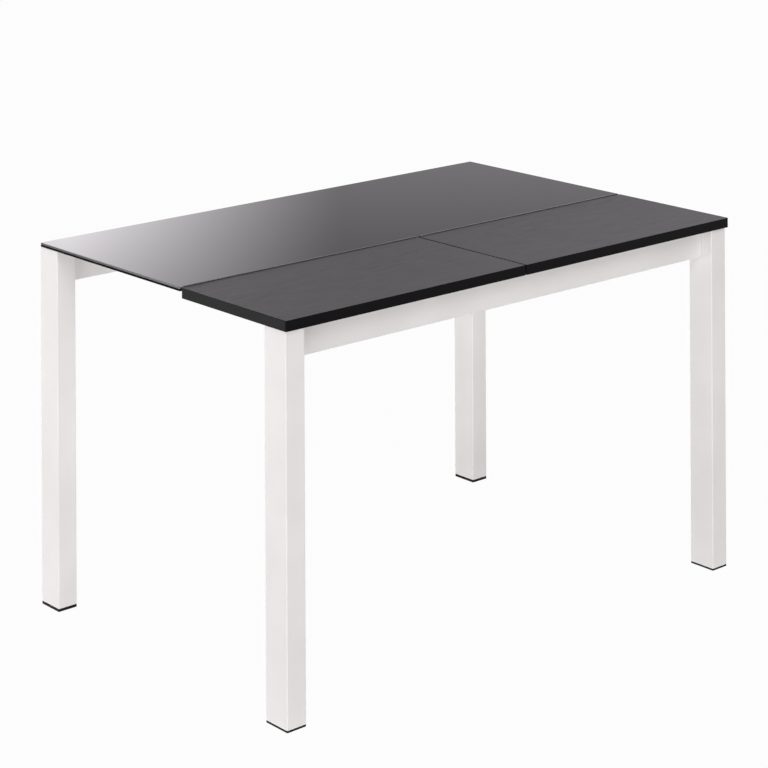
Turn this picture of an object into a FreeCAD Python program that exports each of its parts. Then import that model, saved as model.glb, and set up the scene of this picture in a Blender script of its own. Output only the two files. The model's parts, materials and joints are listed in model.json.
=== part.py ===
import FreeCAD, Part
import os
from FreeCAD import Vector

# Extending table: a rear frame that carries a glass top, a front frame that slides out on telescopic
# guides, and two leaves on piano hinges that turn over between the glass and the front frame.
# Drawn pulled out, with both leaves down. X is the long side, +Y the rear, Z = 0 the floor.

# Overall
frame_length = 1198.0
frame_depth = 800.0
table_height = 740.0
end_overhang = 4.0
front_overhang = 6.0
rear_setback = 6.0

# Top
glass_thickness = 4.0
glass_arris = 0.8
carrier_thickness = 4.0
carrier_arris = 0.3
leaf_thickness = 20.0
leaf_depth = 315.0
edge_band = 1.0
corner_radius = 3.0
edge_round = 0.6
seam_gap = 4.0
split_gap = 2.5

# Legs
leg_width = 44.0
leg_depth = 62.0
leg_wall = 2.0
leg_radius = 2.0
cap_thickness = 3.0
front_foot_height = 4.0
rear_foot_height = 6.0
plug_length = 14.0
plug_clearance = 0.1
leaf_clearance = 0.3

# Front apron and rear rail
rail_height = 60.0
rail_depth = 30.0
rail_wall = 2.0
rail_radius = 2.0
apron_recess = 27.0
rear_rail_recess = 9.0
rail_drop = 1.0
end_plate = 2.0
end_plate_inset = 1.5

# Telescopic guides
guide_inset = 125.0
guide_height = 46.0
guide_width = 16.0
guide_wall = 1.5
guide_lip = 4.0
guide_clearance = 0.4
guide_drop = 2.0
end_clearance = 4.0

# Angle brackets and their screws
bracket_reach = 42.0
bracket_width = 26.0
bracket_height = 36.0
bracket_thickness = 3.0
screw_spacing = 20.0
screw_radius = 2.0
screw_head_radius = 3.8
screw_head_height = 2.2
screw_grip = 4.0
screw_clearance = 0.05

# Cross beam, pads, spacers and bumpers
beam_width = 30.0
beam_height = 14.0
beam_wall = 1.5
beam_end = 10.0
pad_radius = 12.0
spacer_radius = 12.0
bumper_radius = 8.0
supports = 4
support_inset = 30.0

# Piano hinges and the rail that holds their fixed halves
hinge_end = 5.0
hinge_plate = 1.0
hinge_plate_foot = 2.0
knuckle_radius = 1.6
knuckles = 10
knuckle_gap = 0.3
pin_radius = 0.8
pin_fit = 0.04
fold_gap = 1.0
hinge_rail_width = 38.0
hinge_rail_end = 48.0
hinge_rail_lift = 0.5
hinge_screws = 5
hinge_screw_radius = 1.5
hinge_screw_head_radius = 2.6
hinge_screw_head_height = 0.8
leaf_screw_length = 14.0
rail_screw_length = 9.0

# Places along X
leg_out = frame_length / 2
leg_in = leg_out - leg_width
top_end = leg_out + end_overhang
guide_out = leg_in - guide_inset

# Places along Y, from the front edge of the leaves to the backs of the rear legs
leaf_front = -(frame_depth + front_overhang) / 2
front_leg_front = leaf_front + front_overhang
rear_leg_back = front_leg_front + frame_depth
glass_back = rear_leg_back - rear_setback
leaf_back = leaf_front + leaf_depth
glass_front = leaf_back + seam_gap
hinge_y = (leaf_back + glass_front) / 2
apron_front = front_leg_front + apron_recess
apron_back = apron_front + rail_depth
rear_rail_back = rear_leg_back - rear_rail_recess
rear_rail_front = rear_rail_back - rail_depth
stroke = leaf_depth + seam_gap
channel_front = apron_back + stroke + bracket_reach + end_clearance
middle_back = rear_rail_front - end_clearance

# Places along Z
glass_under = table_height - glass_thickness
carrier_under = glass_under - carrier_thickness
leaf_under = table_height - leaf_thickness
leg_top = leaf_under - leaf_clearance
rear_leg_top = carrier_under
rail_top = leg_top - rail_drop
rail_under = rail_top - rail_height
guide_top = rail_top - guide_drop
guide_mid = guide_top - guide_height / 2
beam_top = guide_top + beam_height
hinge_z = table_height + fold_gap / 2
hinge_rail_under = leaf_under + hinge_rail_lift

sides = {"left": -1, "right": 1}
os.makedirs("parts", exist_ok=True)


def box(x0, x1, y0, y1, z0, z1):
    low = Vector(min(x0, x1), min(y0, y1), min(z0, z1))
    return Part.makeBox(abs(x1 - x0), abs(y1 - y0), abs(z1 - z0), low)


def rod(start, end, radius):
    along = end - start
    return Part.makeCylinder(radius, along.Length, start, along)


def join(shapes):
    return shapes[0].fuse(shapes[1:]).removeSplitter()


def save(name, shape):
    shape.exportStep(f"parts/{name}.step")


def spread(first, last, count):
    step = (last - first) / (count - 1)
    return [first + step * i for i in range(count)]


def edges_along(shape, axis):
    span = [edge.BoundBox for edge in shape.Edges]
    full = getattr(shape.BoundBox, f"{axis}Length")
    return [e for e, b in zip(shape.Edges, span) if abs(getattr(b, f"{axis}Length") - full) < 1e-4]


def round_corners(shape, radius):
    return shape.makeFillet(radius, edges_along(shape, "Z"))


def level_edges(shape):
    return [edge for edge in shape.Edges if edge.BoundBox.ZLength < 1e-4]


def screw(seat, into, radius, length, head_radius, head_height):
    head = rod(seat - into * head_height, seat, head_radius)
    return join([head, rod(seat, seat + into * length, radius)])


def screw_hole(seat, into, radius, length):
    return rod(seat, seat + into * length, radius + screw_clearance)


# A leg is a tube, closed by a cap above and a foot below, each with a plug inside the tube;
# the front legs pass under the glass, and the rear ones carry it
def leg(side, y0, top, foot_height):
    x0, x1 = side * leg_in, side * leg_out
    y1 = y0 + leg_depth
    step = leg_wall + plug_clearance
    inner = (min(x0, x1) + leg_wall, max(x0, x1) - leg_wall, y0 + leg_wall, y1 - leg_wall)
    plug = (min(x0, x1) + step, max(x0, x1) - step, y0 + step, y1 - step)
    tube_top = top - cap_thickness

    def outline(z0, z1):
        return round_corners(box(x0, x1, y0, y1, z0, z1), leg_radius)

    tube = outline(foot_height, tube_top).cut(box(*inner, foot_height, tube_top))
    cap = join([outline(tube_top, top), box(*plug, tube_top - plug_length, tube_top)])
    foot = join([outline(0, foot_height), box(*plug, foot_height, foot_height + plug_length)])
    return tube, cap, foot


for frame, y0, top, foot_height in (
    ("front", front_leg_front, leg_top, front_foot_height),
    ("rear", rear_leg_back - leg_depth, rear_leg_top, rear_foot_height),
):
    for name, side in sides.items():
        tube, cap, foot = leg(side, y0, top, foot_height)
        save(f"{frame}_{name}_leg", tube)
        save(f"{frame}_{name}_leg_cap", cap)
        save(f"{frame}_{name}_foot", foot)


# Long rails, each with an end plate against the leg at both ends
def rail(y0, holes):
    x1 = leg_in - end_plate
    y1 = y0 + rail_depth
    wall = rail_wall
    hollow = box(-x1, x1, y0 + wall, y1 - wall, rail_under + wall, rail_top - wall)
    tube = box(-x1, x1, y0, y1, rail_under, rail_top)
    tube = tube.makeFillet(rail_radius, edges_along(tube, "X"))
    return tube.cut(hollow).cut(Part.Compound(holes))


def end_plates(y0):
    inset = end_plate_inset
    span = (y0 + inset, y0 + rail_depth - inset, rail_under + inset, rail_top - inset)
    return Part.Compound([box(s * (leg_in - end_plate), s * leg_in, *span) for s in sides.values()])


# Guides: a lipped outer channel, a lipped middle channel inside it and a bar inside that
channel_step = guide_wall + guide_clearance


def guide_section(side, level, y0, y1):
    inset = level * channel_step
    x0 = side * (guide_out - inset)
    x1 = side * (guide_out - guide_width + inset)
    half = guide_height / 2 - inset
    return box(x0, x1, y0, y1, guide_mid - half, guide_mid + half)


def channel(side, level, y0, y1):
    inset = level * channel_step + guide_wall
    x0 = side * (guide_out - inset)
    x1 = side * (guide_out - guide_width + inset)
    half = guide_height / 2 - inset
    hollow = box(x0, x1, y0, y1, guide_mid - half, guide_mid + half)
    mouth_half = half + guide_wall - guide_lip
    mouth_x = side * (guide_out - guide_width)
    mouth = box(x1, mouth_x, y0, y1, guide_mid - mouth_half, guide_mid + mouth_half)
    return guide_section(side, level, y0, y1).cut(hollow).cut(mouth)


# An angle bracket in the corner of a rail and a guide, with its four screws
def bracket(side, corner_x, rail_y, facing, grip_on_guide):
    z0 = guide_mid - bracket_height / 2
    z1 = guide_mid + bracket_height / 2
    guide_seat = corner_x + side * bracket_thickness
    rail_seat = rail_y + facing * bracket_thickness
    on_rail = box(corner_x, corner_x + side * bracket_width, rail_y, rail_seat, z0, z1)
    on_guide = box(corner_x, guide_seat, rail_y, rail_y + facing * bracket_reach, z0, z1)
    screws, holes = [], []
    to_rail = Vector(0, -facing, 0)
    to_guide = Vector(-side, 0, 0)
    for z in (guide_mid - screw_spacing / 2, guide_mid + screw_spacing / 2):
        rail_x = corner_x + side * (bracket_thickness + bracket_width) / 2
        guide_y = rail_y + facing * (bracket_thickness + bracket_reach) / 2
        rail_grip = bracket_thickness + rail_wall + screw_grip
        guide_grip = bracket_thickness + grip_on_guide
        for seat, into, length in (
            (Vector(rail_x, rail_seat, z), to_rail, rail_grip),
            (Vector(guide_seat, guide_y, z), to_guide, guide_grip),
        ):
            screws.append(screw(seat, into, screw_radius, length, screw_head_radius, screw_head_height))
            holes.append(screw_hole(seat, into, screw_radius, length))
    return join([on_rail, on_guide]).cut(Part.Compound(holes)), screws, holes


rear_brackets, rear_screws, rear_holes = [], [], []
front_brackets, front_screws, front_holes = [], [], []
bar_face = guide_out - 2 * channel_step
for name, side in sides.items():
    angle, screws, holes = bracket(side, side * guide_out, rear_rail_front, -1, guide_wall)
    rear_brackets.append(angle)
    rear_screws += screws
    rear_holes += holes
    outer = channel(side, 0, channel_front, rear_rail_front)
    save(f"{name}_guide_outer_channel", outer.cut(Part.Compound(holes)))

    middle_front = channel_front - stroke / 2
    save(f"{name}_guide_middle_channel", channel(side, 1, middle_front, middle_back - stroke / 2))

    angle, screws, holes = bracket(side, side * bar_face, apron_back, 1, screw_grip)
    front_brackets.append(angle)
    front_screws += screws
    front_holes += holes
    bar = guide_section(side, 2, apron_back, middle_back - stroke)
    save(f"{name}_guide_inner_bar", bar.cut(Part.Compound(holes)))

save("rear_rail", rail(rear_rail_front, rear_holes))
save("rear_rail_end_plates", end_plates(rear_rail_front))
save("rear_guide_brackets", Part.Compound(rear_brackets))
save("rear_bracket_screws", Part.Compound(rear_screws))
save("front_apron", rail(apron_front, front_holes))
save("front_apron_end_plates", end_plates(apron_front))
save("front_guide_brackets", Part.Compound(front_brackets))
save("front_bracket_screws", Part.Compound(front_screws))

# What carries the glass and the leaves: a beam across the outer channels, pads, spacers and bumpers
beam_x = guide_out + beam_end
beam_back = channel_front + beam_width
beam_bore = box(-beam_x, beam_x, channel_front + beam_wall, beam_back - beam_wall,
                guide_top + beam_wall, beam_top - beam_wall)
save("guide_cross_beam", box(-beam_x, beam_x, channel_front, beam_back, guide_top, beam_top).cut(beam_bore))


def discs(y, z0, z1, radius):
    places = spread(support_inset - guide_out, guide_out - support_inset, supports)
    return Part.Compound([rod(Vector(x, y, z0), Vector(x, y, z1), radius) for x in places])


save("beam_pads", discs((channel_front + beam_back) / 2, beam_top, carrier_under, pad_radius))
save("glass_spacers", discs((rear_rail_front + rear_rail_back) / 2, rail_top, carrier_under, spacer_radius))
save("leaf_bumpers", discs((apron_front + apron_back) / 2, rail_top, leg_top, bumper_radius))


# Glass bonded to a carrier sheet of the same outline, both with rounded corners and an arris on every edge
def sheet(z0, z1, arris):
    plate = round_corners(box(-top_end, top_end, glass_front, glass_back, z0, z1), corner_radius)
    return plate.makeChamfer(arris, level_edges(plate))


save("glass_top", sheet(glass_under, table_height, glass_arris))
save("glass_carrier", sheet(carrier_under, glass_under, carrier_arris))


# One leaf with its hinge: knuckles alternate between the fixed and the moving half
def hinge_half(x0, x1, toward, face_y, foot_z, first, bore):
    pitch = (x1 - x0) / knuckles
    plate_edge = face_y - toward * hinge_plate
    plate = box(x0, x1, face_y, plate_edge, foot_z, hinge_z - knuckle_gap)
    tubes, notches = [], []
    for i in range(knuckles):
        start = Vector(x0 + i * pitch, hinge_y, hinge_z)
        end = Vector(x0 + (i + 1) * pitch, hinge_y, hinge_z)
        gap = Vector(knuckle_gap / 2, 0, 0)
        if i % 2 == first:
            tubes.append(rod(start + gap, end - gap, knuckle_radius))
        else:
            notches.append(rod(start - gap, end + gap, knuckle_radius + knuckle_gap))
    half = join([plate.cut(Part.Compound(notches))] + tubes)
    return half.cut(rod(Vector(x0, hinge_y, hinge_z), Vector(x1, hinge_y, hinge_z), bore))


rail_x = top_end - hinge_rail_end
hinge_rail = box(-rail_x, rail_x, glass_front, glass_front + hinge_rail_width, hinge_rail_under, carrier_under)
fixed_screws = []
for name, side in sides.items():
    near, far = split_gap / 2, top_end
    leaf = box(side * near, side * far, leaf_front, leaf_back, leaf_under, table_height)
    leaf = round_corners(leaf, corner_radius)
    leaf = leaf.makeFillet(edge_round, level_edges(leaf))
    core = box(side * (near + edge_band), side * (far - edge_band), leaf_front + edge_band,
               leaf_back - edge_band, leaf_under, table_height)
    core = round_corners(core, corner_radius - edge_band)
    x0, x1 = sorted((side * (near + hinge_end), side * (far - hinge_end)))
    screw_inset = hinge_rail_end + hinge_end
    places = spread(side * (near + screw_inset), side * (far - screw_inset), hinge_screws)

    leaf_seats = [Vector(x, leaf_back + hinge_plate, leaf_under + leaf_thickness / 2) for x in places]
    to_leaf = Vector(0, -1, 0)
    leaf_screws = [screw(seat, to_leaf, hinge_screw_radius, leaf_screw_length,
                         hinge_screw_head_radius, hinge_screw_head_height) for seat in leaf_seats]
    leaf_holes = Part.Compound([screw_hole(seat, to_leaf, hinge_screw_radius, leaf_screw_length)
                                for seat in leaf_seats])
    rail_seats = [Vector(x, glass_front - hinge_plate, (hinge_rail_under + carrier_under) / 2) for x in places]
    to_rail = Vector(0, 1, 0)
    fixed_screws += [screw(seat, to_rail, hinge_screw_radius, rail_screw_length,
                           hinge_screw_head_radius, hinge_screw_head_height) for seat in rail_seats]
    rail_holes = Part.Compound([screw_hole(seat, to_rail, hinge_screw_radius, rail_screw_length)
                                for seat in rail_seats])
    hinge_rail = hinge_rail.cut(rail_holes)

    moving = hinge_half(x0, x1, -1, leaf_back, leaf_under + hinge_plate_foot, 0, pin_radius + pin_fit)
    fixed = hinge_half(x0, x1, 1, glass_front, hinge_rail_under, 1, pin_radius)
    pin = rod(Vector(x0, hinge_y, hinge_z), Vector(x1, hinge_y, hinge_z), pin_radius)
    save(f"{name}_leaf_board", core.cut(leaf_holes))
    save(f"{name}_leaf_edge_band", leaf.cut(core).cut(leaf_holes))
    save(f"{name}_leaf_hinge_screws", Part.Compound(leaf_screws))
    save(f"{name}_hinge_moving_half", moving.cut(leaf_holes))
    save(f"{name}_hinge_fixed_half", fixed.cut(rail_holes))
    save(f"{name}_hinge_pin", pin)

save("hinge_rail", hinge_rail)
save("hinge_rail_screws", Part.Compound(fixed_screws))
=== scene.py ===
import json
import math

import bmesh
import bpy
from mathutils import Matrix, Vector


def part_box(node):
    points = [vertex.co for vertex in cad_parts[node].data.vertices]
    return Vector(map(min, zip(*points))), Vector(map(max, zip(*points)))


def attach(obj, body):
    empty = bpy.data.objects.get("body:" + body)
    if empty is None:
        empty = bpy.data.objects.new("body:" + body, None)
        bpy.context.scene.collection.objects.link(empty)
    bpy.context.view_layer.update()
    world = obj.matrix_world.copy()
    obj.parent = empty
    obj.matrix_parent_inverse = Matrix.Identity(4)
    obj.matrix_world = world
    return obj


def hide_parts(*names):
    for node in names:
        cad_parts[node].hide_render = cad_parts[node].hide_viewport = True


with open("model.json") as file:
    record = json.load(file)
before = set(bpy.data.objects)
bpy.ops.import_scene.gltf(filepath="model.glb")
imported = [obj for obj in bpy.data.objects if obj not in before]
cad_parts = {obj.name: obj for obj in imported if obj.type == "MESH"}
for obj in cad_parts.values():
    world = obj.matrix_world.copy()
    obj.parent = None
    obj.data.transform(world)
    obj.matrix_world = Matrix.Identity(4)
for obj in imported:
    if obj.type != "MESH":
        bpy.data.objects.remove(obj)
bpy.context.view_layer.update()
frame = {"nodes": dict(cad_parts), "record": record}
print("frame loaded:", len(frame["nodes"]), "pieces")


def srgb(code):
    # sRGB hex to linear, as the shader sockets want it
    values = [int(code[i:i + 2], 16) / 255 for i in (0, 2, 4)]
    linear = [v / 12.92 if v <= 0.04045 else ((v + 0.055) / 1.055) ** 2.4 for v in values]
    return (*linear, 1.0)


def metres(millimetres):
    return millimetres / 1000


def perMetre(millimetres):
    # texture scale that gives a pattern this size on Object coordinates
    return 1000 / millimetres


def add(tree, kind, inputs=None, **settings):
    # one node with its settings; an input is a value, or a node and the name of its output,
    # and it goes by its socket's name, or by number where the names repeat
    made = tree.nodes.new(kind)
    for name, value in settings.items():
        setattr(made, name, value)
    for name, value in (inputs or {}).items():
        if isinstance(value, tuple) and isinstance(value[0], bpy.types.Node):
            tree.links.new(value[0].outputs[value[1]], made.inputs[name])
        else:
            made.inputs[name].default_value = value
    return made


def newMaterial(name):
    material = bpy.data.materials.new(name)
    material.use_nodes = True
    material.node_tree.nodes.clear()
    return material, material.node_tree


noiseSpread = {"From Min": 0.3, "From Max": 0.7}       # nearly all of a noise's values lie here
cloudSpread = {"From Min": 0.35, "From Max": 0.65}     # and those of broad, slow clouds here


def textured(tree, look, shade, grain):
    # the colour follows one noise, and roughness and a low relief follow another or the same
    colour = add(tree, "ShaderNodeMix", {"Factor": shade, "A": srgb(look["low"]), "B": srgb(look["high"])},
                 data_type="RGBA")
    rough = add(tree, "ShaderNodeMapRange", {"Value": grain, **noiseSpread,
                                             "To Min": look["roughLow"], "To Max": look["roughHigh"]})
    relief = add(tree, "ShaderNodeBump", {"Height": grain, "Distance": metres(look["depth"])})
    return {"Base Color": (colour, "Result"), "Roughness": (rough, "Result"), "Normal": (relief, "Normal")}


def finish(tree, shader):
    surface = add(tree, "ShaderNodeBsdfPrincipled", shader)
    add(tree, "ShaderNodeOutputMaterial", {"Surface": (surface, "BSDF")})


# Polyester powder coat baked on steel tube: satin white, with a faint orange peel that breaks up the highlights
powderCoat = {
    "low": "E6E2E1", "high": "ECE8E7", "cloud": 160,   # slow drift of the white along a tube, mm
    "peel": 3.2, "depth": 0.02,                        # mm, drawn coarser than the real 1 mm so that it shows
    "roughLow": 0.42, "roughHigh": 0.52, "ior": 1.5,
}


def makePowderCoat():
    material, tree = newMaterial("whitePowderCoat")
    place = (add(tree, "ShaderNodeTexCoord"), "Object")
    cloud = add(tree, "ShaderNodeTexNoise", {"Vector": place, "Scale": perMetre(powderCoat["cloud"]),
                                             "Detail": 2.0})
    peel = add(tree, "ShaderNodeTexNoise", {"Vector": place, "Scale": perMetre(powderCoat["peel"]),
                                            "Detail": 1.0})
    drift = add(tree, "ShaderNodeMapRange", {"Value": (cloud, "Fac"), **cloudSpread})
    finish(tree, {**textured(tree, powderCoat, (drift, "Result"), (peel, "Fac")), "IOR": powderCoat["ior"]})
    return material


# Injection-moulded polypropylene cap: the coat's white, a touch flatter, with a fine spark-eroded texture
capPlastic = {
    "low": "E2DEDD", "high": "E8E4E3", "cloud": 40,    # mm
    "spark": 1.2, "depth": 0.03,                       # mm, drawn coarser than the real 0.2 mm so that it shows
    "roughLow": 0.48, "roughHigh": 0.58, "ior": 1.49,
}


def makeCapPlastic():
    material, tree = newMaterial("whitePolypropylene")
    place = (add(tree, "ShaderNodeTexCoord"), "Object")
    cloud = add(tree, "ShaderNodeTexNoise", {"Vector": place, "Scale": perMetre(capPlastic["cloud"]),
                                             "Detail": 2.0})
    spark = add(tree, "ShaderNodeTexNoise", {"Vector": place, "Scale": perMetre(capPlastic["spark"]),
                                             "Detail": 3.0})
    finish(tree, {**textured(tree, capPlastic, (cloud, "Fac"), (spark, "Fac")), "IOR": capPlastic["ior"]})
    return material


# Moulded polyamide foot: black, matt from the mould's texture, a shade greyer where that stands up
footPlastic = {
    "low": "080809", "high": "121113",
    "spark": 1.4, "depth": 0.05,                       # mm, drawn coarser than the real 0.2 mm so that it shows
    "roughLow": 0.5, "roughHigh": 0.68, "ior": 1.5, "specular": 0.15,
}


def makeFootPlastic():
    material, tree = newMaterial("blackPolyamide")
    place = (add(tree, "ShaderNodeTexCoord"), "Object")
    spark = add(tree, "ShaderNodeTexNoise", {"Vector": place, "Scale": perMetre(footPlastic["spark"]),
                                             "Detail": 3.0})
    finish(tree, {**textured(tree, footPlastic, (spark, "Fac"), (spark, "Fac")),
                  "IOR": footPlastic["ior"], "Specular IOR Level": footPlastic["specular"]})
    return material


# Float glass enamelled black on its back: a clear mirror over black, with a grey edge, and ground arrises painted
# light grey, partly their frost and partly a painted highlight along the edges
topGlass = {
    # the arris grey is partly the ground glass's frost and partly a painted highlight
    "face": "0A080B", "arris": "7C7B7F", "edge": "3E3F40", "back": "121213",
    "faceRough": 0.03, "wipedRough": 0.06, "edgeRough": 0.25, "groundRough": 0.45, "backRough": 0.5,
    "wipe": 220, "wipeTurn": 0.5, "wipeAlong": 0.4,    # wiping marks: mm, radians, and their draw along the wipe
    "arrisSize": 0.8, "blend": 0.1,                    # mm
    "ior": 1.52,
}


def makeTopGlass():
    material, tree = newMaterial("backEnamelledGlass")
    place = (add(tree, "ShaderNodeTexCoord"), "Object")
    low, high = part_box("glass_top")
    blend = metres(topGlass["blend"])
    arris = metres(topGlass["arrisSize"])
    wiped = add(tree, "ShaderNodeMapping", {"Vector": place, "Rotation": (0, 0, topGlass["wipeTurn"]),
                                            "Scale": (topGlass["wipeAlong"], 1, 1)})
    wipe = add(tree, "ShaderNodeTexNoise", {"Vector": (wiped, "Vector"), "Scale": perMetre(topGlass["wipe"]),
                                            "Detail": 3.0})
    gloss = add(tree, "ShaderNodeMapRange", {"Value": (wipe, "Fac"), **cloudSpread,
                                             "To Min": topGlass["faceRough"], "To Max": topGlass["wipedRough"]})
    height = add(tree, "ShaderNodeSeparateXYZ", {"Vector": place})
    colour, rough = srgb(topGlass["face"]), (gloss, "Result")
    for plane, paint, coarse in (                      # each takes over below its plane
        (high.z - blend, "arris", topGlass["groundRough"]),
        (high.z - arris, "edge", topGlass["edgeRough"]),
        (low.z + arris, "arris", topGlass["groundRough"]),
        (low.z + blend, "back", topGlass["backRough"]),
    ):
        under = add(tree, "ShaderNodeMapRange", {"Value": (height, "Z"),
                                                 "From Min": plane, "From Max": plane - blend})
        tint = add(tree, "ShaderNodeMix", {"Factor": (under, "Result"), "A": colour, "B": srgb(topGlass[paint])},
                   data_type="RGBA")
        dull = add(tree, "ShaderNodeMix", {"Factor": (under, "Result"), "A": rough, "B": coarse})
        colour, rough = (tint, "Result"), (dull, "Result")
    finish(tree, {"Base Color": colour, "Roughness": rough, "IOR": topGlass["ior"]})
    return material


# Compact laminate under the glass: phenolic sheet, matt and deep black, faintly mottled
compactLaminate = {
    "low": "050505", "high": "0A0A0A", "mottle": 6.0, "depth": 0.02,   # mm
    "roughLow": 0.55, "roughHigh": 0.68, "ior": 1.5, "specular": 0.03,
}


def makeCompactLaminate():
    material, tree = newMaterial("blackCompactLaminate")
    place = (add(tree, "ShaderNodeTexCoord"), "Object")
    mottle = add(tree, "ShaderNodeTexNoise", {"Vector": place, "Scale": perMetre(compactLaminate["mottle"]),
                                              "Detail": 3.0})
    finish(tree, {**textured(tree, compactLaminate, (mottle, "Fac"), (mottle, "Fac")),
                  "IOR": compactLaminate["ior"], "Specular IOR Level": compactLaminate["specular"]})
    return material


# Melamine pressed on a wood-grain plate: black, satin, with open pores drawn out along the board; its colours are
# lifted to a dark grey above the edge band's black, a painted sheen for the top
boardLaminate = {
    # these greys are the board's black lifted by a painted sheen
    "plain": "3A363A", "dark": "343034", "light": "3E3A3E", "pore": "2A262A",
    "sway": 150, "swayBy": 5.0,                        # how the grain wanders, mm
    "vein": 16.0, "pores": 2.6, "along": 0.05,         # across the grain in mm, and its draw along the board
    "poreFrom": 0.34, "poreTo": 0.48,                  # a pore's edge; drawn coarser than the real 0.5 mm
    "patch": 130, "patchAlong": 0.4,                   # the figure comes and goes in patches, mm
    "patchFrom": 0.46, "patchTo": 0.68, "faintest": 0.08,
    "roughLow": 0.50, "roughHigh": 0.58, "depth": 0.05, "ior": 1.5,
}


def makeBoardLaminate():
    material, tree = newMaterial("blackWoodgrainMelamine")
    place = (add(tree, "ShaderNodeTexCoord"), "Object")
    sway = add(tree, "ShaderNodeTexNoise", {"Vector": place, "Scale": perMetre(boardLaminate["sway"]),
                                            "Detail": 1.0})
    swayBy = metres(boardLaminate["swayBy"])
    aside = add(tree, "ShaderNodeMapRange", {"Value": (sway, "Fac"), "To Min": -swayBy, "To Max": swayBy})
    shift = add(tree, "ShaderNodeCombineXYZ", {"Y": (aside, "Result")})
    bent = add(tree, "ShaderNodeVectorMath", {0: place, 1: (shift, "Vector")}, operation="ADD")
    drawn = add(tree, "ShaderNodeMapping", {"Vector": (bent, "Vector"), "Scale": (boardLaminate["along"], 1, 1)})
    vein = add(tree, "ShaderNodeTexNoise", {"Vector": (drawn, "Vector"),
                                            "Scale": perMetre(boardLaminate["vein"]),
                                            "Detail": 3.0, "Roughness": 0.6})
    pores = add(tree, "ShaderNodeTexNoise", {"Vector": (drawn, "Vector"),
                                             "Scale": perMetre(boardLaminate["pores"]),
                                             "Detail": 2.0, "Roughness": 0.65})
    veined = add(tree, "ShaderNodeMapRange", {"Value": (vein, "Fac"), **noiseSpread})
    solid = add(tree, "ShaderNodeMapRange", {"Value": (pores, "Fac"), "From Min": boardLaminate["poreFrom"],
                                             "From Max": boardLaminate["poreTo"]})
    figure = add(tree, "ShaderNodeMix", {"Factor": (veined, "Result"), "A": srgb(boardLaminate["dark"]),
                                         "B": srgb(boardLaminate["light"])}, data_type="RGBA")
    grained = add(tree, "ShaderNodeMix", {"Factor": (solid, "Result"), "A": srgb(boardLaminate["pore"]),
                                          "B": (figure, "Result")}, data_type="RGBA")
    broad = add(tree, "ShaderNodeMapping", {"Vector": place, "Scale": (boardLaminate["patchAlong"], 1, 1)})
    patch = add(tree, "ShaderNodeTexNoise", {"Vector": (broad, "Vector"),
                                             "Scale": perMetre(boardLaminate["patch"]),
                                             "Detail": 2.0})
    strength = add(tree, "ShaderNodeMapRange", {"Value": (patch, "Fac"), "From Min": boardLaminate["patchFrom"],
                                                "From Max": boardLaminate["patchTo"],
                                                "To Min": boardLaminate["faintest"]})
    black = add(tree, "ShaderNodeMix", {"Factor": (strength, "Result"), "A": srgb(boardLaminate["plain"]),
                                        "B": (grained, "Result")}, data_type="RGBA")
    rough = add(tree, "ShaderNodeMapRange", {"Value": (pores, "Fac"), **noiseSpread,    # the pores are the duller
                                             "To Min": boardLaminate["roughHigh"],
                                             "To Max": boardLaminate["roughLow"]})
    height = add(tree, "ShaderNodeMath", {0: (solid, "Result"), 1: (vein, "Fac")}, operation="ADD")
    relief = add(tree, "ShaderNodeBump", {"Height": (height, "Value"), "Strength": (strength, "Result"),
                                          "Distance": metres(boardLaminate["depth"])})
    finish(tree, {"Base Color": (black, "Result"), "Roughness": (rough, "Result"), "Normal": (relief, "Normal"),
                  "IOR": boardLaminate["ior"]})
    return material


# Extruded ABS edge band: deep black, satin, with fine draw lines along the edge
edgeBand = {
    "low": "040204", "high": "080508",
    "line": 1.4, "along": 0.03, "depth": 0.02,         # mm, drawn coarser than the real 0.3 mm so that it shows
    "roughLow": 0.36, "roughHigh": 0.46, "ior": 1.5, "specular": 0.08,
}


def makeEdgeBand():
    material, tree = newMaterial("blackAbsEdgeBand")
    place = (add(tree, "ShaderNodeTexCoord"), "Object")
    drawn = add(tree, "ShaderNodeMapping", {"Vector": place, "Scale": (edgeBand["along"], edgeBand["along"], 1)})
    line = add(tree, "ShaderNodeTexNoise", {"Vector": (drawn, "Vector"), "Scale": perMetre(edgeBand["line"]),
                                            "Detail": 2.0})
    finish(tree, {**textured(tree, edgeBand, (line, "Fac"), (line, "Fac")),
                  "IOR": edgeBand["ior"], "Specular IOR Level": edgeBand["specular"]})
    return material


# Phosphated and lacquered steel: black satin with a faint mottle, on the hinge rail and the hinge screws
blackSteel = {
    "low": "101011", "high": "1B1B1D", "mottle": 3.0, "depth": 0.02,   # mm
    "roughLow": 0.38, "roughHigh": 0.55, "ior": 1.5, "specular": 0.35,
}


def makeBlackSteel():
    material, tree = newMaterial("blackLacqueredSteel")
    place = (add(tree, "ShaderNodeTexCoord"), "Object")
    mottle = add(tree, "ShaderNodeTexNoise", {"Vector": place, "Scale": perMetre(blackSteel["mottle"]),
                                              "Detail": 3.0})
    finish(tree, {**textured(tree, blackSteel, (mottle, "Fac"), (mottle, "Fac")),
                  "IOR": blackSteel["ior"], "Specular IOR Level": blackSteel["specular"]})
    return material


# Burnished steel hinge: dark metal with a soft sheen and fine lengthwise scratches
burnishedSteel = {
    "low": "787779", "high": "8C8B8D",
    "scratch": 0.9, "along": 0.04, "depth": 0.008,     # mm, drawn coarser than the real 0.1 mm so that it shows
    "roughLow": 0.42, "roughHigh": 0.54,
}


def makeBurnishedSteel():
    material, tree = newMaterial("burnishedSteel")
    place = (add(tree, "ShaderNodeTexCoord"), "Object")
    drawn = add(tree, "ShaderNodeMapping", {"Vector": place, "Scale": (burnishedSteel["along"], 1, 1)})
    scratch = add(tree, "ShaderNodeTexNoise", {"Vector": (drawn, "Vector"),
                                               "Scale": perMetre(burnishedSteel["scratch"]), "Detail": 3.0})
    finish(tree, {**textured(tree, burnishedSteel, (scratch, "Fac"), (scratch, "Fac")), "Metallic": 1.0})
    return material


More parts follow.
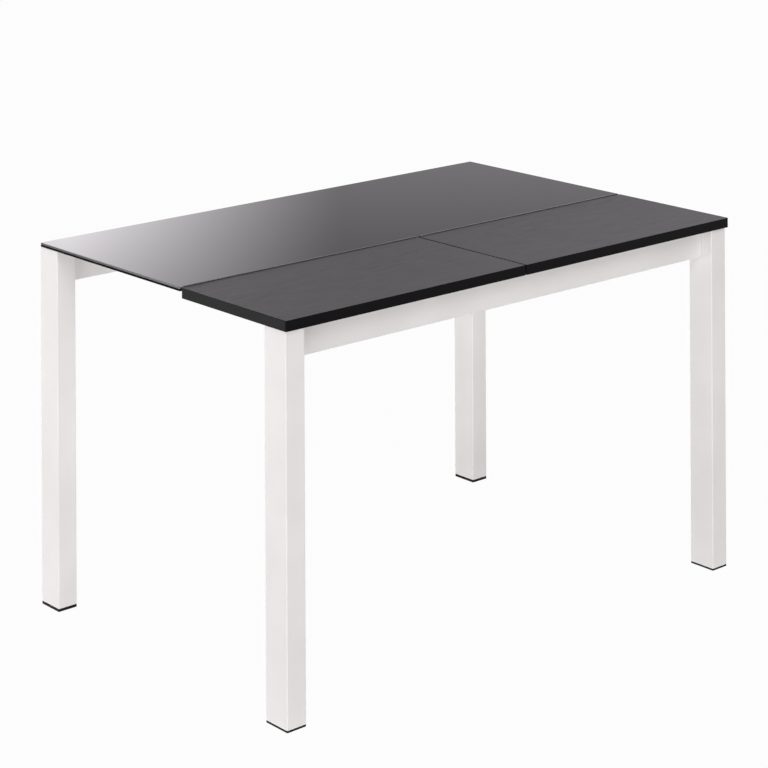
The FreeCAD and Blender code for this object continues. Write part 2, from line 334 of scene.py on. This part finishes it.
# Zinc-plated cold-rolled steel: bright grey metal with rolling streaks along the guides
zincSteel = {
    "low": "A9ABAE", "high": "C6C8CB",
    "streak": 1.6, "along": 0.05, "depth": 0.012,      # mm, drawn coarser than the real 0.3 mm so that it shows
    "roughLow": 0.42, "roughHigh": 0.56,
}


def makeZincSteel():
    material, tree = newMaterial("zincPlatedSteel")
    place = (add(tree, "ShaderNodeTexCoord"), "Object")
    rolled = add(tree, "ShaderNodeMapping", {"Vector": place, "Scale": (1, zincSteel["along"], 1)})
    streak = add(tree, "ShaderNodeTexNoise", {"Vector": (rolled, "Vector"),
                                              "Scale": perMetre(zincSteel["streak"]),
                                              "Detail": 3.0})
    finish(tree, {**textured(tree, zincSteel, (streak, "Fac"), (streak, "Fac")), "Metallic": 1.0})
    return material


# Natural anodised aluminium, turned: pale silver with fine rings from the lathe tool
turnedAluminium = {
    "low": "B2B3B5", "high": "CDCED0",
    "turning": 0.8, "around": 0.05, "depth": 0.01,     # mm, drawn coarser than the real 0.1 mm so that it shows
    "roughLow": 0.28, "roughHigh": 0.4,
}


def makeTurnedAluminium():
    material, tree = newMaterial("anodisedAluminium")
    place = (add(tree, "ShaderNodeTexCoord"), "Object")
    around = turnedAluminium["around"]
    turned = add(tree, "ShaderNodeMapping", {"Vector": place, "Scale": (around, around, 1)})
    rings = add(tree, "ShaderNodeTexNoise", {"Vector": (turned, "Vector"),
                                             "Scale": perMetre(turnedAluminium["turning"]), "Detail": 2.0})
    finish(tree, {**textured(tree, turnedAluminium, (rings, "Fac"), (rings, "Fac")), "Metallic": 1.0})
    return material


# Moulded nitrile rubber pads and bumpers: matt black with a grey bloom
padRubber = {
    "low": "0F0F0F", "high": "1C1B1B", "bloom": 4.0, "depth": 0.05,    # mm
    "roughLow": 0.7, "roughHigh": 0.85, "ior": 1.52,
}


def makePadRubber():
    material, tree = newMaterial("nitrileRubber")
    place = (add(tree, "ShaderNodeTexCoord"), "Object")
    bloom = add(tree, "ShaderNodeTexNoise", {"Vector": place, "Scale": perMetre(padRubber["bloom"]),
                                             "Detail": 4.0})
    finish(tree, {**textured(tree, padRubber, (bloom, "Fac"), (bloom, "Fac")), "IOR": padRubber["ior"]})
    return material


finishes = {
    "white_steel": makePowderCoat(),
    "white_plastic": makeCapPlastic(),
    "black_plastic": makeFootPlastic(),
    "black_glass": makeTopGlass(),
    "compact_laminate": makeCompactLaminate(),
    "board_laminate": makeBoardLaminate(),
    "board_edge": makeEdgeBand(),
    "black_steel": makeBlackSteel(),
    "burnished_steel": makeBurnishedSteel(),
    "zinc_steel": makeZincSteel(),
    "spacer_aluminium": makeTurnedAluminium(),
    "black_rubber": makePadRubber(),
}
for part in frame["record"]["subparts"]:
    node = frame["nodes"][part["node"]]
    node.data.materials.clear()
    node.data.materials.append(finishes[part["material_slot"]])
print("finishes on the frame:", len(finishes))

# Pan-head screws with a cross recess, in place of the plain CAD ones, mm
hingeScrew = {"sides": 24, "head": 2.6, "headHigh": 0.8, "rim": 0.35, "rimSteps": 3, "shank": 1.5, "tip": 2.5,
              "armLong": 2.9, "armWide": 0.75, "deep": 0.55}
bracketScrew = {"sides": 24, "head": 3.8, "headHigh": 2.2, "rim": 1.1, "rimSteps": 3, "shank": 2.0, "tip": 2.0,
                "armLong": 4.6, "armWide": 1.1, "deep": 1.4}
screwNodes = {
    "left_leaf_hinge_screws": ("leftLeafHingeScrews", hingeScrew),
    "right_leaf_hinge_screws": ("rightLeafHingeScrews", hingeScrew),
    "hinge_rail_screws": ("hingeRailScrews", hingeScrew),
    "front_bracket_screws": ("frontBracketScrews", bracketScrew),
    "rear_bracket_screws": ("rearBracketScrews", bracketScrew),
}
squarely = 0.9                                         # a face looks up or down when its normal's z passes this
smoothAngle = 35                                       # degrees; steeper edges stay sharp
spotDigits, lengthDigits = 6, 5                        # corners and lengths in m that round alike are the same
endReach = 1e-5                                        # m, how near a corner is to the end that it belongs to


def pickFaces(piece, test):
    shape = bmesh.from_edit_mesh(piece.data)
    for face in shape.faces:
        face.select_set(test(face))
    bmesh.update_edit_mesh(piece.data)


def makeScrew(size, length):
    # one screw, its head above the floor plane and its shank below
    head, high, tip = metres(size["head"]), metres(size["headHigh"]), metres(size["tip"])
    bpy.ops.object.select_all(action="DESELECT")
    bpy.ops.mesh.primitive_cylinder_add(vertices=size["sides"], radius=head, depth=high,
                                        location=(0, 0, high / 2))
    screw = bpy.context.object
    bpy.ops.object.transform_apply(location=True, rotation=False, scale=False)
    bpy.ops.object.mode_set(mode="EDIT")
    bpy.ops.mesh.select_mode(type="FACE")
    pickFaces(screw, lambda face: face.normal.z > squarely)
    bpy.ops.mesh.bevel(offset=metres(size["rim"]), segments=size["rimSteps"], affect="EDGES")
    pickFaces(screw, lambda face: face.normal.z < -squarely)
    bpy.ops.mesh.inset(thickness=head - metres(size["shank"]))
    bpy.ops.mesh.extrude_region_move(TRANSFORM_OT_translate={"value": (0, 0, tip - length)})
    bpy.ops.mesh.extrude_region_move(TRANSFORM_OT_translate={"value": (0, 0, -tip)})
    bpy.ops.mesh.merge(type="CENTER")
    bpy.ops.object.mode_set(mode="OBJECT")

    # the recess is cut by a cross of two bars
    arms = []
    for long, wide in ((size["armLong"], size["armWide"]), (size["armWide"], size["armLong"])):
        bpy.ops.object.select_all(action="DESELECT")
        bpy.ops.mesh.primitive_cube_add(size=1, location=(0, 0, high))
        arm = bpy.context.object
        bpy.ops.transform.resize(value=(metres(long), metres(wide), metres(2 * size["deep"])))
        bpy.ops.object.transform_apply(location=True, rotation=False, scale=True)
        arms.append(arm)
    for arm in arms:
        cut = screw.modifiers.new("recess", "BOOLEAN")
        cut.operation, cut.solver, cut.object = "DIFFERENCE", "EXACT", arm
        bpy.context.view_layer.objects.active = screw
        bpy.ops.object.modifier_apply(modifier=cut.name)
        bpy.data.objects.remove(arm)
    bpy.ops.object.select_all(action="DESELECT")
    screw.select_set(True)
    bpy.ops.object.shade_smooth_by_angle(angle=math.radians(smoothAngle))
    return screw


def screwPlaces(node, size):
    # the node's mesh is loose triangles: those that share a corner make one screw
    mesh = frame["nodes"][node].data
    corner = [tuple(round(c, spotDigits) for c in vertex.co) for vertex in mesh.vertices]
    group = {spot: spot for spot in corner}

    def root(spot):
        while group[spot] != spot:
            spot = group[spot]
        return spot

    for face in mesh.polygons:
        first, *others = [root(corner[i]) for i in face.vertices]
        for other in others:
            group[root(other)] = root(first)
    screws = {}
    for spot in group:
        screws.setdefault(root(spot), []).append(Vector(spot))

    headHigh = metres(size["headHigh"])
    places = []
    for spots in screws.values():
        low = Vector([min(v[i] for v in spots) for i in range(3)])
        high = Vector([max(v[i] for v in spots) for i in range(3)])
        across = high - low
        # along the axis the other two widths are alike: they are the round head's
        axis = min(range(3), key=lambda i: abs(across[i - 1] - across[i - 2]))
        middle = (low + high) / 2
        wide = {}
        for end in (low[axis], high[axis]):            # the head is the wider end
            rim = [v - middle for v in spots if abs(v[axis] - end) < endReach]
            wide[end] = max(math.sqrt(v.length_squared - v[axis] ** 2) for v in rim)
        headEnd = max(wide, key=wide.get)
        into = Vector((0, 0, 0))
        into[axis] = 1 if headEnd == low[axis] else -1
        seat = middle.copy()
        seat[axis] = headEnd + into[axis] * headHigh
        places.append((seat, into, high[axis] - low[axis] - headHigh))
    return places


for node, (name, size) in screwNodes.items():
    body = next(b for b, nodes in frame["record"]["behaviour"]["bodies"].items() if node in nodes)
    slot = next(part["material_slot"] for part in frame["record"]["subparts"] if part["node"] == node)
    models, copies = {}, []                            # a model for each length
    for seat, into, length in screwPlaces(node, size):
        key = round(length, lengthDigits)
        if key not in models:
            models[key] = makeScrew(size, length)
        screw = models[key].copy()
        screw.data = models[key].data.copy()
        screw.data.transform(Matrix.Translation(seat) @ into.to_track_quat("-Z", "Y").to_matrix().to_4x4())
        bpy.context.scene.collection.objects.link(screw)
        copies.append(screw)
    for model in models.values():
        bpy.data.objects.remove(model)
    bpy.ops.object.select_all(action="DESELECT")
    for screw in copies:
        screw.select_set(True)
    bpy.context.view_layer.objects.active = copies[0]
    bpy.ops.object.join()
    screws = bpy.context.object
    screws.name = name
    screws.data.materials.clear()
    screws.data.materials.append(finishes[slot])
    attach(screws, body)
    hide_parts(node)
    print(name + ":", len(copies))

# White paper floor, seen white but still taking the table's shadow
studioFloor = {"size": 60.0, "paper": "E0E0E0", "seenWhite": 0.965}


def makeFloor():
    bpy.ops.object.select_all(action="DESELECT")
    bpy.ops.mesh.primitive_plane_add(size=studioFloor["size"], location=(0, 0, 0))
    floor = bpy.context.object
    floor.name = "floor"
    material, tree = newMaterial("paperFloor")
    paper = add(tree, "ShaderNodeBsdfDiffuse", {"Color": srgb(studioFloor["paper"])})
    white = add(tree, "ShaderNodeEmission", {"Strength": 1.0})
    path = add(tree, "ShaderNodeLightPath")
    mirrored = add(tree, "ShaderNodeMath", {0: (path, "Is Glossy Ray"), 1: (path, "Is Transmission Ray")},
                   operation="MAXIMUM")
    seen = add(tree, "ShaderNodeMath", {0: (path, "Is Camera Ray"), 1: (mirrored, "Value")}, operation="MAXIMUM")
    share = add(tree, "ShaderNodeMath", {0: (seen, "Value"), 1: studioFloor["seenWhite"]}, operation="MULTIPLY")
    mixed = add(tree, "ShaderNodeMixShader", {0: (share, "Value"), 1: (paper, "BSDF"), 2: (white, "Emission")})
    add(tree, "ShaderNodeOutputMaterial", {"Surface": (mixed, "Shader")})
    floor.data.materials.append(material)


# Even white room all round, plain white where the camera sees it
studioRoom = {"paint": "FFFFFF", "level": 0.32, "seen": 1.0}


def makeRoom():
    world = bpy.data.worlds.new("studioRoom")
    bpy.context.scene.world = world
    world.use_nodes = True
    tree = world.node_tree
    tree.nodes.clear()
    path = add(tree, "ShaderNodeLightPath")
    level = add(tree, "ShaderNodeMapRange", {"Value": (path, "Is Camera Ray"), "To Min": studioRoom["level"],
                                             "To Max": studioRoom["seen"]})
    glow = add(tree, "ShaderNodeBackground", {"Color": srgb(studioRoom["paint"]), "Strength": (level, "Result")})
    add(tree, "ShaderNodeOutputWorld", {"Surface": (glow, "Background")})


# Wall behind the table glowing with painted light, as if lit from its left: bright at one end and fading along;
# the glass mirrors it
backWall = {
    "yaw": 41.2, "away": 3.5, "left": -1.35, "right": 4.5, "height": 5.0, "light": "FFFBFF",    # degrees and m
    "dim": 0.40, "bright": 2.58, "fall": 1.5,
    "brightAt": -1.15, "dimFrom": -0.15,               # m along it from the line of sight
    "low": 1.20, "lowShare": 1.41, "high": 1.90, "highShare": 0.594,   # darker with height, m
    "bandLow": 1.25, "ground": 0.6, "groundGlow": 1.8,                 # brighter below this band
    "bandHigh": 1.85, "sky": 2.5, "skyGlow": 1.95,                     # and above it,
    "outerLeft": -0.7, "outerRight": 0.9, "leftShare": 0.1,            # more so to the right
}


def makeWall():
    yaw = math.radians(backWall["yaw"])
    middle = backWall["height"] / 2
    bpy.ops.object.select_all(action="DESELECT")
    bpy.ops.mesh.primitive_plane_add(size=1.0)
    wall = bpy.context.object
    wall.name = "backWall"
    bpy.ops.transform.resize(value=(backWall["right"] - backWall["left"], backWall["height"], 1))
    bpy.ops.transform.translate(value=((backWall["right"] + backWall["left"]) / 2, 0, 0))
    bpy.ops.object.transform_apply(location=True, rotation=False, scale=True)
    wall.location = (backWall["away"] * math.sin(yaw), backWall["away"] * math.cos(yaw), middle)
    wall.rotation_euler = (math.pi / 2, 0, -yaw)       # its x runs to the right, its y up
    # its glow is painted light: the strengths below paint the wall's brightness, and no lamp shines on it
    material, tree = newMaterial("paintedGlowWall")
    place = (add(tree, "ShaderNodeTexCoord"), "Object")
    spot = add(tree, "ShaderNodeSeparateXYZ", {"Vector": place})
    side = add(tree, "ShaderNodeMapRange", {"Value": (spot, "X"), "From Min": backWall["dimFrom"],
                                            "From Max": backWall["brightAt"]})
    curve = add(tree, "ShaderNodeMath", {0: (side, "Result"), 1: backWall["fall"]}, operation="POWER")
    along = add(tree, "ShaderNodeMapRange", {"Value": (curve, "Value"), "To Min": backWall["dim"],
                                             "To Max": backWall["bright"]})
    rise = add(tree, "ShaderNodeMapRange", {"Value": (spot, "Y"), "From Min": backWall["low"] - middle,
                                            "From Max": backWall["high"] - middle,
                                            "To Min": backWall["lowShare"], "To Max": backWall["highShare"]})
    middling = add(tree, "ShaderNodeMath", {0: (along, "Result"), 1: (rise, "Result")}, operation="MULTIPLY")
    ground = add(tree, "ShaderNodeMapRange", {"Value": (spot, "Y"), "From Min": backWall["bandLow"] - middle,
                                              "From Max": backWall["ground"] - middle,
                                              "To Max": backWall["groundGlow"]})
    sky = add(tree, "ShaderNodeMapRange", {"Value": (spot, "Y"), "From Min": backWall["bandHigh"] - middle,
                                           "From Max": backWall["sky"] - middle, "To Max": backWall["skyGlow"]})
    both = add(tree, "ShaderNodeMath", {0: (ground, "Result"), 1: (sky, "Result")}, operation="ADD")
    right = add(tree, "ShaderNodeMapRange", {"Value": (spot, "X"), "From Min": backWall["outerLeft"],
                                             "From Max": backWall["outerRight"], "To Min": backWall["leftShare"]})
    outer = add(tree, "ShaderNodeMath", {0: (both, "Value"), 1: (right, "Result")}, operation="MULTIPLY")
    level = add(tree, "ShaderNodeMath", {0: (middling, "Value"), 1: (outer, "Value")}, operation="ADD")
    glow = add(tree, "ShaderNodeEmission", {"Color": srgb(backWall["light"]), "Strength": (level, "Value")})
    add(tree, "ShaderNodeOutputMaterial", {"Surface": (glow, "Emission")})
    wall.data.materials.append(material)
    wall.visible_camera = False                        # it shows only in reflections
    wall.visible_diffuse = False
    wall.visible_shadow = False


# Large soft boxes on the left, on the camera's side (low and high), on the right and behind;
# a low card that the boards' ends mirror; and a card under the top for the rear legs. In m and W
softBoxes = {
    "left": {"place": (-10.9, -4.2, 0.5), "aim": (0, 0, 0.42), "width": 7.0, "height": 1.0, "power": 385.0,
             "tint": "FAFAFF"},
    "low": {"place": (-3.0, 1.65, 0.2), "aim": (-0.6, -0.4, 0.7), "width": 1.6, "height": 0.4, "power": 20.0},
    "front": {"place": (-4.5, -13.0, 0.5), "aim": (0, 0, 0.42), "width": 7.0, "height": 1.0, "power": 580.0},
    "high": {"place": (-3.0, -5.5, 6.0), "aim": (0, 0, 0.5), "width": 4.0, "height": 4.0, "power": 156.0},
    "right": {"place": (12.0, 3.6, 0.5), "aim": (0, 0, 0.42), "width": 7.0, "height": 1.0, "power": 330.0},
    "rear": {"place": (-2.5, 12.5, 0.5), "aim": (0, 0, 0.42), "width": 7.0, "height": 1.0, "power": 420.0},
    "under": {"place": (0.06, 0.02, 0.4), "aim": (0.06, 1.0, 0.66), "width": 1.0, "height": 0.5, "power": 1.08},
}


def makeSoftBox(name, box):
    bpy.ops.object.light_add(type="AREA", location=box["place"])
    lamp = bpy.context.object
    lamp.name = name + "SoftBox"
    lamp.data.shape = "RECTANGLE"
    lamp.data.size, lamp.data.size_y = box["width"], box["height"]
    lamp.data.energy = box["power"]
    lamp.data.color = srgb(box.get("tint", "FFFFFF"))[:3]
    lamp.rotation_euler = (Vector(box["aim"]) - Vector(box["place"])).to_track_quat("-Z", "Y").to_euler()
    lamp.visible_camera = False


makeFloor()
makeRoom()
makeWall()
for name, box in softBoxes.items():
    makeSoftBox(name, box)
print("studio lit")

# Camera: the photograph was taken from above with its verticals kept parallel, as a view camera does.
# The rig's slant stands in for the view camera's dropped back: right and up stay square to the legs,
# and only the line of sight dips.
viewCamera = {
    "yaw": 41.196, "roll": -0.2714,                    # degrees
    "away": 4.8978, "aside": 0.0055, "aheadOfOrigin": 0.003, "height": 1.8778, "farClip": 200,     # m
    "focal": 2347.4, "drop": 699.9, "image": 768,      # pixels
    "sensor": 36.0,                                    # mm
}


def makeCamera():
    yaw, roll = math.radians(viewCamera["yaw"]), math.radians(viewCamera["roll"])
    ahead = Vector((math.sin(yaw), math.cos(yaw), 0))
    right = Vector((math.cos(yaw), -math.sin(yaw), 0))
    up = Vector((0, 0, 1))
    dip = viewCamera["drop"] / viewCamera["focal"]
    sight = ahead + right * (dip * math.sin(roll)) - up * (dip * math.cos(roll))
    across = right * math.cos(roll) + up * math.sin(roll)
    upward = up * math.cos(roll) - right * math.sin(roll)
    place = Vector((0, viewCamera["aheadOfOrigin"], viewCamera["height"]))
    place -= ahead * viewCamera["away"] + right * viewCamera["aside"]

    stand = bpy.data.objects.new("cameraStand", None)
    bpy.context.scene.collection.objects.link(stand)
    stand.location = place
    lens = bpy.data.cameras.new("camera")
    lens.sensor_width = viewCamera["sensor"]
    lens.lens = viewCamera["sensor"] * viewCamera["focal"] * sight.length / viewCamera["image"]
    lens.clip_end = viewCamera["farClip"]
    camera = bpy.data.objects.new("camera", lens)
    bpy.context.scene.collection.objects.link(camera)
    camera.parent = stand
    slant = Matrix((across, upward, -sight.normalized())).transposed().to_4x4()
    camera.matrix_parent_inverse = slant
    bpy.context.scene.camera = camera


makeCamera()
bpy.context.scene.view_settings.view_transform = "Standard"
print("camera set")
